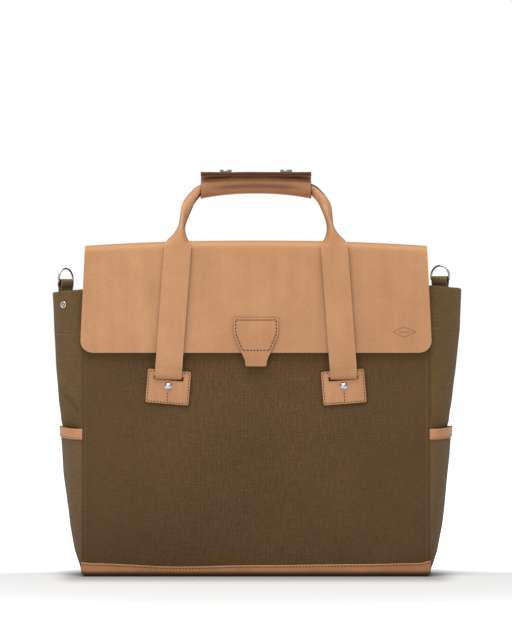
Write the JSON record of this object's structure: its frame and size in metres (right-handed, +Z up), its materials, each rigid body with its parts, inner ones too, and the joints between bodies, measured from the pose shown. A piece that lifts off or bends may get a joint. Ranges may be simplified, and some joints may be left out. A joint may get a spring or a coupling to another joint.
{
  "type": "satchel bag",
  "caption": "Canvas satchel with a full-width leather flap, leather straps that rise into rolled top handles, a snapped grip wrap, side pockets and D-rings.",
  "frame": {"origin": "middle of the underside of the base", "axes": "+Z up, +X to the right as seen from the front, -Y towards the front"},
  "size_m": [0.4704, 0.1164, 0.4684],
  "materials": {
    "canvas": "olive brown cotton canvas, plain weave",
    "pocket_canvas": "olive brown cotton canvas, a little lighter",
    "leather": "smooth vegetable-tanned leather, natural tan, satin",
    "dark_leather": "vegetable-tanned leather, darker, worn",
    "bright_steel": "nickel-plated, bright",
    "ring_steel": "satin nickel, slightly dull",
    "board": "pressed fibre board",
    "cord": "twisted cotton cord"
  },
  "bodies": {
    "bag": {"base_leather": "dark_leather", "bottom_panel": "canvas", "base_board": "board", "front_panel": "canvas", "back_panel": "canvas", "front_facing": "pocket_canvas", "back_facing": "pocket_canvas", "left_gusset": "canvas", "right_gusset": "canvas", "left_pocket": "pocket_canvas", "right_pocket": "pocket_canvas", "left_pocket_band": "leather", "right_pocket_band": "leather", "gusset_snap": "bright_steel", "left_ring_loop": "canvas", "right_ring_loop": "canvas", "patch_front_left": "leather", "patch_front_right": "leather", "patch_back_left": "leather", "patch_back_right": "leather", "strap_tails_front": "leather", "strap_tails_back": "leather", "reinforcement_pads": "dark_leather", "rivets_front": "bright_steel", "rivets_back": "bright_steel", "flap_anchor": "leather", "closure_plate": "bright_steel"},
    "flap": {"flap": "leather", "closure_tab": "leather", "closure_magnet": "bright_steel"},
    "front_handle": {"front_strap_left": "leather", "front_strap_right": "leather", "front_roll": "leather", "front_cord_core": "cord", "grip_filler": "cord", "grip_wrap": "leather", "wrap_studs": "bright_steel"},
    "grip_cover": {"grip_flap": "leather", "snap_caps": "bright_steel"},
    "back_handle": {"back_strap_left": "leather", "back_strap_right": "leather", "back_roll": "leather", "back_cord_core": "cord"},
    "left_ring": {"left_ring": "ring_steel"},
    "right_ring": {"right_ring": "ring_steel"}
  },
  "joints": [
    {"name": "flap_open", "type": "hinge", "parent": "bag", "child": "flap", "pos_m": [0, 0.04, 0.3832], "axis": [-1, 0, 0], "range_deg": [0, 50]},
    {"name": "front_handle_fall", "type": "hinge", "parent": "bag", "child": "front_handle", "pos_m": [0, -0.04526, 0.2265], "axis": [1, 0, 0], "range_deg": [0, 136]},
    {"name": "back_handle_fall", "type": "hinge", "parent": "bag", "child": "back_handle", "pos_m": [0, 0.04526, 0.2265], "axis": [-1, 0, 0], "range_deg": [0, 150]},
    {"name": "grip_cover_open", "type": "hinge", "parent": "front_handle", "child": "grip_cover", "pos_m": [0, 0, 0.4646], "axis": [-1, 0, 0], "range_deg": [0, 110]},
    {"name": "left_ring_swing", "type": "hinge", "parent": "bag", "child": "left_ring", "pos_m": [-0.22243, 0.01843, 0.3385], "axis": [0.646, 0.7634, 0], "range_deg": [-95, 95]},
    {"name": "right_ring_swing", "type": "hinge", "parent": "bag", "child": "right_ring", "pos_m": [0.21559, 0.02433, 0.342], "axis": [0.8501, -0.5267, 0], "range_deg": [-95, 95]}
  ],
  "couplings": [
    {"joint": "front_handle_fall", "follows": "flap_open", "ratio": 2.7}
  ]
}
